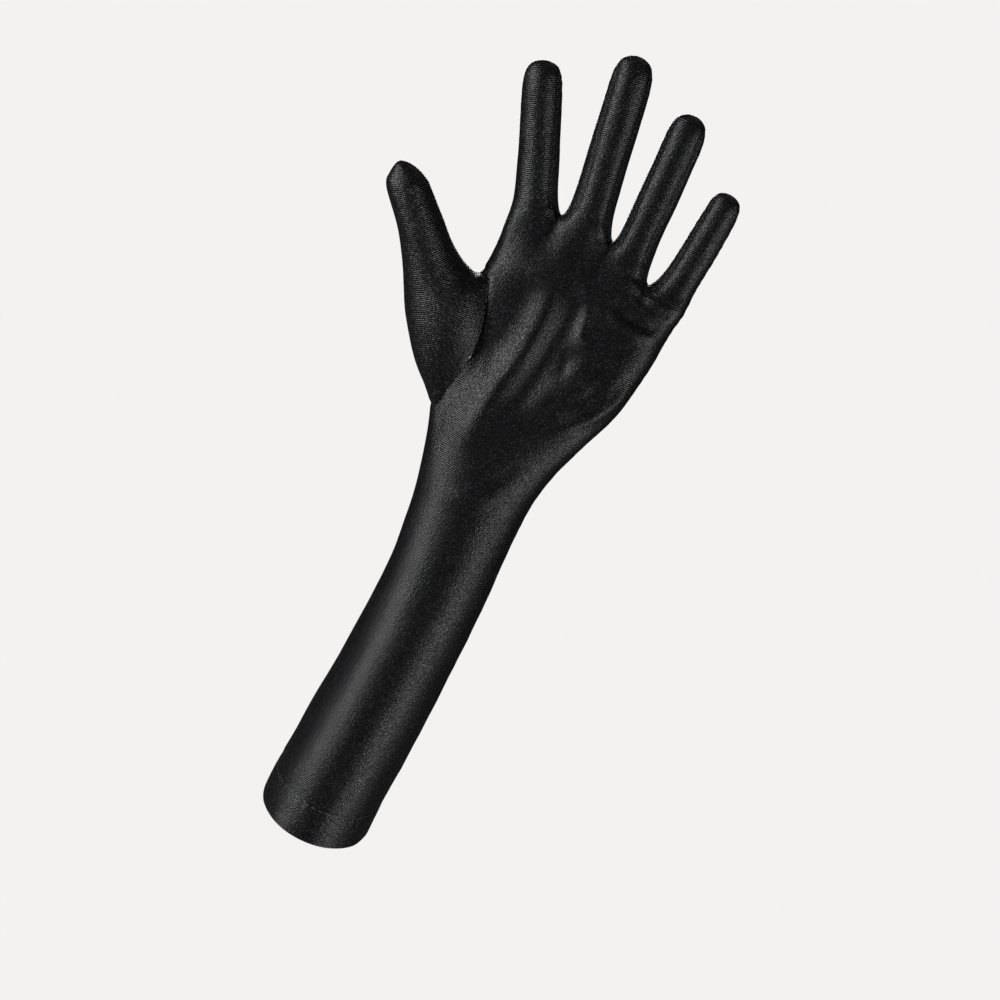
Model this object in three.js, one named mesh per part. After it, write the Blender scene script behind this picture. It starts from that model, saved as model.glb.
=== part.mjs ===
// Elbow-length satin dress glove for the left hand, shaped as it is worn: fingers spread, palm towards -Y,
// thumb towards -X, and one open hollow from the cuff to the fingertips. Millimetres, +Z up along the
// forearm, with the origin at the middle of the cuff's opening. A coarse cage of four-sided faces is lofted
// from the section tables and smoothed once. Its faces are then shared out to the cloth pieces along the
// real seams, and each piece is given the wall of the cloth.
import * as THREE from "three";

// Cloth and seams
const CLOTH_THICKNESS = 1.0;
const HEM_THICKNESS = 1.9;
const HEM_HEIGHT = 11.5;
const SEAM_GAP = 0.4;
const MITRE_LIMIT = 2.5;

// Sleeve, wrist and palm, measured outside
const FOREARM_LENGTH = 175;
const CUFF_SLANT_DEG = 5;
const WRIST_WIDTH = 50;
const WRIST_DEPTH = 40;
const PALM_LENGTH = 101;
const PALM_WIDTH = 81;
const PALM_DEPTH = 28;
const WEB_DEPTH = 15;

// Fingers: length from the web to the tip, width and depth at the middle joint. near_seam and far_seam are
// the angles from the side of the finger to its seams.
const FINGERS = [
  { name: "index", length: 64, width: 17, depth: 16.4, near_seam: 38, far_seam: 52 },
  { name: "middle", length: 73.5, width: 18, depth: 17, near_seam: 50, far_seam: 60 },
  { name: "ring", length: 67, width: 16.6, depth: 16, near_seam: 60, far_seam: 48 },
  { name: "little", length: 51.5, width: 14.6, depth: 14, near_seam: 46, far_seam: 38 },
];

// How each finger is held: lean is its angle from +Z in the plane of the palm, towards the little finger,
// aside and tip are the shifts of its root and of its tip that way as shares of its width, curl is its bend
// towards the palm over its whole length, and roll its turn about its own line.
const FINGER_POSES = [
  { lean: -22, aside: 0.04, tip: 0.02, curl: 14, roll: 0 },
  { lean: -9, aside: 0.03, tip: 0.02, curl: 13, roll: 8 },
  { lean: -1, aside: 0, tip: -0.05, curl: 14, roll: -8 },
  { lean: 6, aside: 0.1, tip: -0.08, curl: 16, roll: 0 },
];

// Thumb: length from its root in the palm to the tip. It leans out from the root, and forward of the palm.
const THUMB_LENGTH = 78;
const THUMB_WIDTH = 18;
const THUMB_DEPTH = 18;
const THUMB_LEAN = -40;
const THUMB_FORWARD = 14;

// Sections of the sleeve, from the cuff to the wrist. along is a share of the forearm's length, width and
// depth are shares of the wrist's, and shift the offset towards the little finger's side as a share of the
// wrist's width.
const SLEEVE_SECTIONS = [
  { along: 0.0, width: 0.99, depth: 1.66, shift: 0.0 },
  { along: 0.31, width: 0.96, depth: 1.5, shift: 0.05 },
  { along: 0.6, width: 0.895, depth: 1.25, shift: 0.093 },
  { along: 0.79, width: 0.926, depth: 1.08, shift: 0.063 },
  { along: 0.93, width: 1.0, depth: 1.0, shift: 0.005 },
];

// Sections of the hand, from the wrist to the fingers. along is a share of the palm's length, width, depth
// and the offsets shift and forward are shares of the palm's, square is how far the section is from an
// oval, and thumb_seam the degrees by which the thumb's seam swings out over the palm and the back.
const HAND_SECTIONS = [
  { along: 0.1, width: 0.76, depth: 1.4, shift: 0.002, forward: 0.0, square: 0.05, thumb_seam: -9 },
  { along: 0.287, width: 0.845, depth: 1.32, shift: 0.052, forward: 0.01, square: 0.15, thumb_seam: 4 },
  { along: 0.465, width: 0.93, depth: 1.2, shift: 0.07, forward: 0.012, square: 0.25, thumb_seam: 9 },
  { along: 0.66, width: 0.995, depth: 1.06, shift: 0.067, forward: 0.01, square: 0.3, thumb_seam: -6 },
  { along: 0.8, width: 0.995, depth: 0.97, shift: 0.075, forward: 0.0, square: 0.3, thumb_seam: 0 },
];

// Where the fingers part: the two edges of the hand and the three webs between. across is a share of the
// palm's width from the thumb's side, and along a share of the palm's length.
const FINGER_LINE = [
  { across: 0.0, along: 0.9 },
  { across: 0.24, along: 1.005 },
  { across: 0.515, along: 1.005 },
  { across: 0.76, along: 0.895 },
  { across: 1.0, along: 0.86 },
];

// Sections of a finger, as shares of its own length, width and depth; seam is a share of its seam angles.
const FINGER_SECTIONS = [
  { along: 0.12, width: 1.08, depth: 1.06, seam: 1.0 },
  { along: 0.32, width: 1.02, depth: 1.0, seam: 0.9 },
  { along: 0.55, width: 1.0, depth: 0.98, seam: 0.74 },
  { along: 0.79, width: 0.94, depth: 0.9, seam: 0.55 },
  { along: 0.95, width: 0.87, depth: 0.76, seam: 0.42 },
];
const TIP_REACH = 1.035;
const BASE_CURL = -3;

// Sections over the ball of the thumb: free is how far they have left the seam in the palm for the first
// round section below, and bulge how far they stand out, as a share of the thumb's width.
const THUMB_ROOT_SECTIONS = [
  { free: 0.3, bulge: 0.19 },
  { free: 0.66, bulge: 0.17 },
];

// Round sections of the thumb. aside is the shift towards the index finger, as a share of its width.
const THUMB_SECTIONS = [
  { along: 0.345, width: 1.66, depth: 1.28, aside: -0.22 },
  { along: 0.47, width: 1.26, depth: 1.12, aside: -0.27 },
  { along: 0.61, width: 1.09, depth: 1.0, aside: -0.22 },
  { along: 0.75, width: 1.01, depth: 0.92, aside: -0.23 },
  { along: 0.87, width: 0.98, depth: 0.84, aside: -0.26 },
  { along: 0.95, width: 0.92, depth: 0.7, aside: -0.27 },
];

// Folds and dents of the cloth. x is a share of the palm's width from the palm's middle line, z a share of
// its length from the wrist, turn the angle of the fold's line from +X, long and wide its half sizes as
// shares of the palm's width, rise its height as a share of the palm's depth, below 0 for a dent, and front
// 1 on the palm's side and -1 on the back.
const FOLDS = [
  { x: 0.0, z: 0.56, turn: 75, long: 0.3, wide: 0.2, rise: -0.13, front: 1 },
  { x: 0.32, z: 0.36, turn: 75, long: 0.28, wide: 0.13, rise: 0.1, front: 1 },
  { x: 0.33, z: 0.84, turn: -12, long: 0.13, wide: 0.03, rise: 0.045, front: 1 },
  { x: 0.34, z: 0.77, turn: -14, long: 0.17, wide: 0.03, rise: -0.05, front: 1 },
  { x: 0.36, z: 0.7, turn: -16, long: 0.16, wide: 0.03, rise: 0.035, front: 1 },
  { x: 0.22, z: 0.66, turn: -24, long: 0.2, wide: 0.045, rise: -0.06, front: 1 },
  { x: -0.05, z: 0.0, turn: 8, long: 0.3, wide: 0.05, rise: -0.05, front: 1 },
  { x: -0.3, z: 0.8, turn: 100, long: 0.16, wide: 0.07, rise: 0.07, front: -1 },
  { x: -0.05, z: 0.83, turn: 95, long: 0.16, wide: 0.07, rise: 0.08, front: -1 },
  { x: 0.18, z: 0.79, turn: 88, long: 0.16, wide: 0.07, rise: 0.07, front: -1 },
  { x: 0.38, z: 0.7, turn: 80, long: 0.14, wide: 0.06, rise: 0.05, front: -1 },
];

const SATIN = { color: 0x141417, roughness: 0.38, metalness: 0 };

// The cage's columns: SPANS faces across each finger on each side, and one point on each edge of the hand
const SPANS = 3;
const COUNT = FINGERS.length;
const ACROSS = SPANS * COUNT;
const CORNER_ANGLE = 25;
const NEAR_EDGE = 0;
const FAR_EDGE = ACROSS + 2;
const RING = 2 * (ACROSS + 2);
const palmColumn = (i) => 1 + i;
const backColumn = (i) => RING - 1 - i;

const radians = THREE.MathUtils.degToRad;
const lerp = THREE.MathUtils.lerp;
const sum = (list) => list.reduce((total, v) => total.add(v), new THREE.Vector3());
const middle = (list) => sum(list).divideScalar(list.length);

// Smoothing draws a ring of n points in by this share, so rings are made that much larger
const swell = (n) => 4 / (3 + Math.cos((2 * Math.PI) / n));

const cage = { points: [], faces: [] };
const addPoint = (v) => cage.points.push(v) - 1;
const addFace = (corners, piece, side = "") => cage.faces.push({ corners, piece, side });

// Joins two closed rings of points by a row of faces. pieceOf and sideOf name a face's cloth piece and
// side.
function joinRings(low, high, pieceOf, sideOf = () => "") {
  low.forEach((_, i) => {
    const next = (i + 1) % low.length;
    addFace([low[i], low[next], high[next], high[i]], pieceOf(i), sideOf(i));
  });
}

// An oval point at an angle from the thumb's side, through the palm's side: square above 0 fills out its
// corners
function ovalPoint(angle, square) {
  const power = 1 - 0.5 * square;
  const c = -Math.cos(radians(angle));
  const s = -Math.sin(radians(angle));
  return [Math.sign(c) * Math.abs(c) ** power, Math.sign(s) * Math.abs(s) ** power];
}

// The angle of a column of the sleeve. seam swings the columns next to the thumb's seam along the ring.
function columnAngle(column, seam) {
  const back = column > FAR_EDGE;
  if (column === NEAR_EDGE) return 0;
  if (column === FAR_EDGE) return 180;
  const i = back ? RING - 1 - column : column - 1;
  const step = (180 - 2 * CORNER_ANGLE) / ACROSS;
  const swing = seam * Math.max(0, 1 - Math.abs(i - 1) / (2 * SPANS - 1));
  const angle = CORNER_ANGLE + i * step + swing;
  return back ? 360 - angle : angle;
}

function sleeveSections() {
  const forearm = SLEEVE_SECTIONS.map((s) => ({
    z: s.along * FOREARM_LENGTH,
    width: s.width * WRIST_WIDTH,
    depth: s.depth * WRIST_DEPTH,
    x: s.shift * WRIST_WIDTH,
    y: 0,
    square: 0,
    seam: 0,
  }));
  const hem = { ...forearm[0], z: HEM_HEIGHT };
  const hand = HAND_SECTIONS.map((s) => ({
    z: FOREARM_LENGTH + s.along * PALM_LENGTH,
    width: s.width * PALM_WIDTH,
    depth: s.depth * PALM_DEPTH,
    x: s.shift * PALM_WIDTH,
    y: -s.forward * PALM_WIDTH,
    square: s.square,
    seam: s.thumb_seam,
  }));
  return [forearm[0], hem, ...forearm.slice(1), ...hand];
}

// The cuff hangs lower on the palm's side. The slant fades out up the sleeve.
function cuffSlant(y, z) {
  const fade = Math.max(0, 1 - z / (0.5 * FOREARM_LENGTH));
  return y * Math.tan(radians(CUFF_SLANT_DEG)) * fade * fade;
}

function sleeveRing(section) {
  const grow = swell(RING) / 2;
  return Array.from({ length: RING }, (_, column) => {
    const [across, through] = ovalPoint(columnAngle(column, section.seam), section.square);
    const x = section.x + across * section.width * grow;
    const y = section.y + through * section.depth * grow;
    return addPoint(new THREE.Vector3(x, y, section.z + cuffSlant(y, section.z)));
  });
}

// The ring where the fingers part, with a low web between each two
function fingerLineRing(last) {
  const left = last.x - PALM_WIDTH / 2;
  const place = (share) => {
    const low = Math.min(Math.floor(share), COUNT - 1);
    const [a, b] = [FINGER_LINE[low], FINGER_LINE[low + 1]];
    const between = share - low;
    const rise = Math.sin(Math.PI * between) * 0.02;
    return {
      x: left + PALM_WIDTH * lerp(a.across, b.across, between),
      z: FOREARM_LENGTH + PALM_LENGTH * (lerp(a.along, b.along, between) + rise),
      web: Math.abs(Math.sin(Math.PI * between)),
    };
  };
  const half = (web) => (swell(RING) * lerp(WEB_DEPTH, PALM_DEPTH * 0.72, web)) / 2;
  const ring = new Array(RING);
  for (let i = 0; i <= ACROSS; i++) {
    const outer = i === 0 || i === ACROSS;
    const at = place(i / SPANS);
    const reach = outer ? half(0.45) : half(at.web);
    const dip = outer ? 0 : (1 - at.web) * 0.045 * PALM_LENGTH;
    ring[palmColumn(i)] = addPoint(new THREE.Vector3(at.x, -reach, at.z - dip));
    ring[backColumn(i)] = addPoint(new THREE.Vector3(at.x, reach, at.z - 1.5 * dip));
  }
  const overhang = 0.006 * PALM_WIDTH;
  const edge = (at, out) => addPoint(new THREE.Vector3(at.x + out, 0, at.z));
  ring[NEAR_EDGE] = edge(place(0), -overhang);
  ring[FAR_EDGE] = edge(place(COUNT), overhang);
  return ring;
}

// The frame of a limb at a share of its length: its middle, and the directions along it, across it and to
// the palm
function limbFrame(root, length, leanDeg, curlStart, curlEnd, share, steps = 24) {
  const at = root.clone();
  const lean = radians(leanDeg);
  const aim = (t) => {
    const curl = radians(lerp(curlStart, curlEnd, t));
    const flat = Math.cos(curl);
    const along = new THREE.Vector3(Math.sin(lean) * flat, -Math.sin(curl), Math.cos(lean) * flat);
    const across = new THREE.Vector3(Math.cos(lean), 0, -Math.sin(lean));
    return { along, across, front: new THREE.Vector3().crossVectors(across, along) };
  };
  for (let i = 0; i < steps; i++) {
    at.addScaledVector(aim(((i + 0.5) / steps) * share).along, (length * share) / steps);
  }
  return { at, ...aim(share) };
}

// The cloth piece on a finger's side: edge 0 is its side towards the thumb, and edge 1 the other
const fingerPiece = (finger, edge) => {
  const [near, far] = [FINGERS[finger - 1 + edge], FINGERS[finger + edge]];
  return near && far ? "fourchette_" + near.name + "_" + far.name : "glove_body";
};

// A point of a limb's tip: the middle of points of its last section, carried on to the tip
function tipCrest(frame, lastAlong) {
  const reach = frame(TIP_REACH).at.sub(frame(lastAlong).at);
  return (around) => addPoint(middle(around.map((p) => cage.points[p])).add(reach));
}

// A finger: rings from its base loop to the last section, then a cap of faces over the tip
function addFinger(number, base) {
  const finger = { ...FINGERS[number], ...FINGER_POSES[number] };
  const root = middle(base.map((p) => cage.points[p]));
  root.x += finger.aside * finger.width;
  const loop = base.length;
  const grow = swell(loop) / 2;
  const frame = (share) => {
    const f = limbFrame(root, finger.length, finger.lean, BASE_CURL, finger.curl, share);
    f.at.addScaledVector(f.across, finger.tip * finger.width * share ** 4);
    return f;
  };
  const angles = (seam) => {
    const near = finger.near_seam * seam;
    const far = 180 - finger.far_seam * seam;
    const front = Array.from({ length: SPANS + 1 }, (_, i) => lerp(near, far, i / SPANS));
    return [0, ...front, 180, ...front.map((a) => 360 - a).reverse()];
  };
  const pieceOf = (i) => {
    if (i === 0 || i === loop - 1) return fingerPiece(number, 0);
    if (i === SPANS + 1 || i === SPANS + 2) return fingerPiece(number, 1);
    return "glove_body";
  };
  const sideOf = (i) => (number === COUNT - 1 ? edgeSide(i, SPANS + 1) : "");
  let low = base;
  for (const section of FINGER_SECTIONS) {
    const f = frame(section.along);
    const ring = angles(section.seam).map((angle) => {
      const turned = radians(angle + finger.roll);
      const point = f.at.clone();
      point.addScaledVector(f.across, -Math.cos(turned) * finger.width * section.width * grow);
      point.addScaledVector(f.front, Math.sin(turned) * finger.depth * section.depth * grow);
      return addPoint(point);
    });
    joinRings(low, ring, pieceOf, sideOf);
    low = ring;
  }
  const crest = tipCrest(frame, FINGER_SECTIONS.at(-1).along);
  const front = low.slice(1, SPANS + 2);
  const back = low.slice(SPANS + 3).reverse();
  const inner = [1, 2].map((i) => crest([front[i], back[i]]));
  const crown = [low[0], ...inner, low[SPANS + 2]];
  for (let i = 0; i < SPANS; i++) {
    addFace([front[i], front[i + 1], crown[i + 1], crown[i]], "glove_body");
    addFace([crown[i], crown[i + 1], back[i + 1], back[i]], "glove_body");
  }
}

// The closing seam runs up the little finger's edge: the faces on its two sides are told apart
function edgeSide(i, edge) {
  if (i === edge) return "palm";
  return i === edge + 1 ? "back" : "";
}

// The thumb's seam is the rim of a hole in the hand, four columns wide and three rows high
const SEAM_COLUMNS = [backColumn(1), backColumn(0), NEAR_EDGE, palmColumn(0), palmColumn(1)];
const SEAM_ROWS = 3;
const SEAM_FIRST_ROW = 1 + SLEEVE_SECTIONS.length;

function addThumb(rows) {
  const [first, ...others] = rows;
  const last = others.pop();
  const bottom = SEAM_COLUMNS.map((c) => first[c]);
  const top = SEAM_COLUMNS.map((c) => last[c]).reverse();
  const palmEdge = others.map((row) => row[SEAM_COLUMNS.at(-1)]);
  const backEdge = others.map((row) => row[SEAM_COLUMNS[0]]).reverse();
  const base = [...bottom, ...palmEdge, ...top, ...backEdge];
  const loop = base.length;
  const step = 360 / loop;
  const start = 270 - 2 * step;
  const grow = swell(loop) / 2;
  const root = middle(base.map((p) => cage.points[p]));
  const frame = (share) =>
    limbFrame(root, THUMB_LENGTH, THUMB_LEAN, THUMB_FORWARD, THUMB_FORWARD / 2, share);
  const turns = base.map((_, i) => radians(start + i * step));
  const rounds = THUMB_SECTIONS.map((section) => {
    const f = frame(section.along);
    f.at.addScaledVector(f.across, section.aside * THUMB_WIDTH);
    return turns.map((turn) => {
      const point = f.at.clone();
      point.addScaledVector(f.front, Math.cos(turn) * THUMB_DEPTH * section.depth * grow);
      return point.addScaledVector(f.across, Math.sin(turn) * THUMB_WIDTH * section.width * grow);
    });
  });
  const f = frame(0);
  const roots = THUMB_ROOT_SECTIONS.map(({ free, bulge }) =>
    base.map((p, i) => {
      const outward = bulge * THUMB_WIDTH * (1 - Math.max(0, Math.sin(turns[i])));
      const point = cage.points[p].clone().lerp(rounds[0][i], free);
      point.addScaledVector(f.front, Math.cos(turns[i]) * outward);
      return point.addScaledVector(f.across, Math.sin(turns[i]) * outward);
    }),
  );
  let low = base;
  for (const ring of [...roots, ...rounds]) {
    const high = ring.map(addPoint);
    joinRings(low, high, () => "thumb");
    low = high;
  }
  const width = SEAM_COLUMNS.length;
  const height = SEAM_ROWS + 1;
  const rim = (row, column) => {
    if (row === 0) return low[column];
    if (row === height - 1) return low[2 * width + SEAM_ROWS - 2 - column];
    if (column === width - 1) return low[width - 1 + row];
    return column === 0 ? low[loop - row] : undefined;
  };
  const crest = tipCrest(frame, THUMB_SECTIONS.at(-1).along);
  const grid = Array.from({ length: height }, (_, row) =>
    Array.from({ length: width }, (_, column) => {
      const known = rim(row, column);
      if (known !== undefined) return known;
      return crest([rim(row, 0), rim(row, width - 1), rim(0, column), rim(height - 1, column)]);
    }),
  );
  for (let r = 0; r < height - 1; r++)
    for (let c = 0; c < width - 1; c++)
      addFace([grid[r][c], grid[r][c + 1], grid[r + 1][c + 1], grid[r + 1][c]], "thumb");
}

function buildCage() {
  const sections = sleeveSections();
  const rows = sections.map(sleeveRing);
  rows.push(fingerLineRing(sections.at(-1)));
  const holed = (row, column) =>
    row >= SEAM_FIRST_ROW && row < SEAM_FIRST_ROW + SEAM_ROWS && SEAM_COLUMNS.slice(0, -1).includes(column);
  for (let row = 0; row < rows.length - 1; row++)
    for (let column = 0; column < RING; column++) {
      if (holed(row, column)) continue;
      const next = (column + 1) % RING;
      const corners = [rows[row][column], rows[row][next], rows[row + 1][next], rows[row + 1][column]];
      if (row === 0) addFace(corners, "cuff_hem");
      else addFace(corners, "glove_body", edgeSide(column, FAR_EDGE - 1));
    }
  addThumb(rows.slice(SEAM_FIRST_ROW, SEAM_FIRST_ROW + SEAM_ROWS + 1));

  const top = rows.at(-1);
  const webs = FINGER_LINE.slice(1, -1).map((_, k) => {
    const column = SPANS * (k + 1);
    const ends = [top[palmColumn(column)], top[backColumn(column)]];
    const ridge = middle(ends.map((p) => cage.points[p]));
    ridge.z = FOREARM_LENGTH + PALM_LENGTH * FINGER_LINE[k + 1].along;
    return addPoint(ridge);
  });
  const mids = [top[NEAR_EDGE], ...webs, top[FAR_EDGE]];
  for (let k = 0; k < COUNT; k++) {
    const columns = Array.from({ length: SPANS + 1 }, (_, i) => SPANS * k + i);
    const front = columns.map((i) => top[palmColumn(i)]);
    const back = columns.map((i) => top[backColumn(i)]).reverse();
    addFinger(k, [mids[k], ...front, mids[k + 1], ...back]);
  }
}

const edgeKey = (a, b) => (a < b ? a + "_" + b : b + "_" + a);

function edgesOf(faces) {
  const edges = new Map();
  faces.forEach((face, f) =>
    face.corners.forEach((a, i) => {
      const b = face.corners[(i + 1) % face.corners.length];
      const key = edgeKey(a, b);
      if (!edges.has(key)) edges.set(key, { ends: [a, b], faces: [] });
      edges.get(key).faces.push(f);
    }),
  );
  return edges;
}

// One Catmull-Clark step: each face becomes four, and the surface is drawn smooth
function smoothed({ points, faces }) {
  const edges = edgesOf(faces);
  const faceMiddles = faces.map((face) => middle(face.corners.map((p) => points[p])));
  const touching = points.map(() => ({ faces: [], edges: [] }));
  faces.forEach((face, f) => face.corners.forEach((p) => touching[p].faces.push(f)));
  for (const edge of edges.values()) edge.ends.forEach((p) => touching[p].edges.push(edge));
  const edgeMiddle = (edge) => middle(edge.ends.map((p) => points[p]));
  const moved = points.map((point, p) => {
    const open = touching[p].edges.filter((edge) => edge.faces.length === 1);
    if (open.length) return point.clone().add(middle(open.map(edgeMiddle))).multiplyScalar(0.5);
    const n = touching[p].edges.length;
    const around = middle(touching[p].faces.map((f) => faceMiddles[f]));
    const beside = middle(touching[p].edges.map(edgeMiddle));
    return around.addScaledVector(beside, 2).addScaledVector(point, n - 3).divideScalar(n);
  });
  const made = { points: moved, faces: [] };
  const faceStart = moved.length;
  faceMiddles.forEach((v) => moved.push(v));
  const edgePoint = new Map();
  for (const [key, edge] of edges) {
    const around = edge.ends.map((p) => points[p]);
    if (edge.faces.length === 2) around.push(...edge.faces.map((f) => faceMiddles[f]));
    edgePoint.set(key, moved.push(middle(around)) - 1);
  }
  faces.forEach((face, f) =>
    face.corners.forEach((corner, i) => {
      const next = edgePoint.get(edgeKey(corner, face.corners[(i + 1) % 4]));
      const before = edgePoint.get(edgeKey(corner, face.corners[(i + 3) % 4]));
      made.faces.push({ ...face, corners: [corner, next, faceStart + f, before] });
    }),
  );
  return made;
}

function normalsOf({ points, faces }) {
  const normals = points.map(() => new THREE.Vector3());
  for (const { corners } of faces) {
    const [a, b, c, d] = corners.map((p) => points[p]);
    const normal = new THREE.Vector3().crossVectors(c.clone().sub(a), d.clone().sub(b));
    corners.forEach((p) => normals[p].add(normal));
  }
  return normals.map((n) => n.normalize());
}

// Raises the folds and presses in the dents, along the cloth's own normals
function folded(surface) {
  const normals = normalsOf(surface);
  const centre = HAND_SECTIONS.at(-1).shift * PALM_WIDTH;
  surface.points.forEach((point, p) => {
    for (const fold of FOLDS) {
      const facing = -normals[p].y * fold.front;
      if (facing < 0.1) continue;
      const dx = point.x - centre - fold.x * PALM_WIDTH;
      const dz = point.z - FOREARM_LENGTH - fold.z * PALM_LENGTH;
      const turn = radians(fold.turn);
      const along = (dx * Math.cos(turn) + dz * Math.sin(turn)) / (fold.long * PALM_WIDTH);
      const across = (dz * Math.cos(turn) - dx * Math.sin(turn)) / (fold.wide * PALM_WIDTH);
      const reach = Math.exp(-along * along - across * across) * Math.min(1, facing * 2);
      point.addScaledVector(normals[p], reach * fold.rise * PALM_DEPTH);
    }
  });
  return surface;
}

// One cloth piece: its faces drawn back from the seams by half the gap, and given the wall of the cloth
// inwards. A point on the closing seam is one point for each of its sides.
function clothPiece(surface, normals, name, seamPoints, thickness) {
  const faces = surface.faces.filter((face) => face.piece === name);
  const keyOf = (p, face) => (seamPoints.has(p) && face.side ? p + face.side : String(p));
  const index = new Map();
  const source = [];
  const corners = faces.map((face) =>
    face.corners.map((p) => {
      const key = keyOf(p, face);
      if (!index.has(key)) index.set(key, source.push(p) - 1);
      return index.get(key);
    }),
  );
  const edges = edgesOf(corners.map((c) => ({ corners: c })));
  const open = [...edges.values()].filter((edge) => edge.faces.length === 1);
  const inward = source.map(() => new THREE.Vector3());
  for (const { ends, faces: [f] } of open) {
    const [a, b] = ends.map((p) => surface.points[source[p]]);
    const line = b.clone().sub(a).normalize();
    const towards = middle(corners[f].map((p) => surface.points[source[p]])).sub(a);
    towards.addScaledVector(line, -towards.dot(line)).normalize();
    ends.forEach((p) => inward[p].add(towards));
  }
  const outer = source.map((p, i) => {
    const mitre = Math.min(2 / (inward[i].lengthSq() || 1), MITRE_LIMIT);
    return surface.points[p].clone().addScaledVector(inward[i], (mitre * SEAM_GAP) / 2);
  });
  const inner = outer.map((v, i) => v.clone().addScaledVector(normals[source[i]], -thickness));
  const positions = [...outer, ...inner].flatMap((v) => v.toArray());
  const under = outer.length;
  const triangles = corners.flatMap(([a, b, c, d]) => [
    [a, b, c],
    [a, c, d],
    [a + under, c + under, b + under],
    [a + under, d + under, c + under],
  ]);
  for (const { ends: [a, b], faces: [f] } of open) {
    const at = corners[f].indexOf(a);
    const [from, to] = corners[f][(at + 1) % 4] === b ? [a, b] : [b, a];
    triangles.push([to, from, from + under], [to, from + under, to + under]);
  }
  const geometry = new THREE.BufferGeometry();
  geometry.setAttribute("position", new THREE.Float32BufferAttribute(positions, 3));
  geometry.setIndex(triangles.flat());
  geometry.computeVertexNormals();
  const mesh = new THREE.Mesh(geometry, new THREE.MeshStandardMaterial(SATIN));
  mesh.name = name;
  return mesh;
}

buildCage();
const surface = folded(smoothed(cage));
const normals = normalsOf(surface);

// The closing seam: the points that faces of both its sides share
const sidesAt = new Map();
for (const face of surface.faces)
  for (const p of face.side ? face.corners : []) {
    if (!sidesAt.has(p)) sidesAt.set(p, new Set());
    sidesAt.get(p).add(face.side);
  }
const seamPoints = new Set([...sidesAt].filter(([, sides]) => sides.size === 2).map(([p]) => p));

const glove = new THREE.Group();
for (const name of new Set(surface.faces.map((face) => face.piece))) {
  const thickness = name === "cuff_hem" ? HEM_THICKNESS : CLOTH_THICKNESS;
  glove.add(clothPiece(surface, normals, name, seamPoints, thickness));
}

export default glove;
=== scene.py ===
"""Elbow-length satin dress glove for the left hand: cloth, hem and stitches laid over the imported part."""
import math

import bmesh
import bpy
import numpy as np
from mathutils import Matrix, Vector, noise
from mathutils.bvhtree import BVHTree
from mathutils.kdtree import KDTree


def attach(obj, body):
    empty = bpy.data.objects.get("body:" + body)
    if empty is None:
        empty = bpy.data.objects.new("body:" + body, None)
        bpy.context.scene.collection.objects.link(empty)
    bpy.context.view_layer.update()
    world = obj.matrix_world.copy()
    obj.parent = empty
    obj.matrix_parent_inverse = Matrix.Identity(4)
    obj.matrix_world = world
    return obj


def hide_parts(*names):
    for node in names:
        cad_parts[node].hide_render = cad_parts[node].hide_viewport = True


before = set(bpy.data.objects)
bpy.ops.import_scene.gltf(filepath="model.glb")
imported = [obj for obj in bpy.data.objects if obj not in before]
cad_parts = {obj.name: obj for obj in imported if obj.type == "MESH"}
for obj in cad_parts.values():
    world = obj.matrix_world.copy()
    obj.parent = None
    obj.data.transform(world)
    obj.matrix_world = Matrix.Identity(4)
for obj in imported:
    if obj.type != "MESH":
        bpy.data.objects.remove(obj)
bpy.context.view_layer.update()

MM = 0.001

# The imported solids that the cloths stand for. Those in SET_IN are sewn in along one closed seam each.
BODY = "glove_body"
THUMB = "thumb"
HEM = "cuff_hem"
SET_IN = (THUMB, "fourchette_index_middle", "fourchette_middle_ring", "fourchette_ring_little")
NODES = (BODY, *SET_IN, HEM)

# Cloth, metres
SATIN_THICKNESS = 0.6 * MM
HEM_THICKNESS = 1.5 * MM
SMOOTHING_LEVELS = 2
CREASE_ANGLE = math.radians(50.0)

# Finding a solid's outer faces: it is split where it turns by more than RIM_ANGLE. A group of faces stays if
# OPEN_SHARE of the looks out from it leave the glove and the solid behind it is at most RIM_DEPTH walls deep.
CAD_WALL = 1.0 * MM
CAD_HEM_WALL = 1.9 * MM
RIM_ANGLE = math.radians(44.0)
OPEN_SHARE = 0.48
RIM_DEPTH = 1.5
LOOK_SAMPLES = 40
LOOK_START = 0.05 * MM
DEPTH_SAMPLES = 60
DEPTH_START = 0.02 * MM
MERGE = 0.002 * MM
QUAD_ANGLE = math.radians(80.0)

# Seams, metres: how close their edges are drawn and how far apart they may start, the dip along them, and
# the puckers that run out from them. The waver varies a pucker's place and height.
SEAM_OPENING = 0.08 * MM
SEAM_REACH = 1.6 * MM
SEAM_PAIR_REACH = 0.7 * MM
RIM_MARGIN = 0.5 * MM
SEAM_DIP = 0.34 * MM
SEAM_DIP_WIDTH = 1.1 * MM
PUCKER_HEIGHT = 0.16 * MM
PUCKER_START = 1.2 * MM
PUCKER_REACH = 3.6 * MM
PUCKER_PITCH = 4.6 * MM
WAVER_SIZE = 9.0 * MM
WAVER_SEED = 4
WAVER_TURN = 2.5
WAVER_BASE = 0.6
WAVER_SWING = 0.9

# Ripples all over the cloth: height and size in metres, and the seed that shifts the noise by SEED_STEPS
RIPPLES = ((0.34 * MM, 16.0 * MM, 1), (0.08 * MM, 4.5 * MM, 2))
SEED_STEPS = (3.7, 1.3, 5.1)

# The thumb's tip is smoothed within TIP_REACH of its highest point
TIP_REACH = 11.0 * MM
TIP_REPEATS = 60
TIP_FACTOR = 0.5

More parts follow.
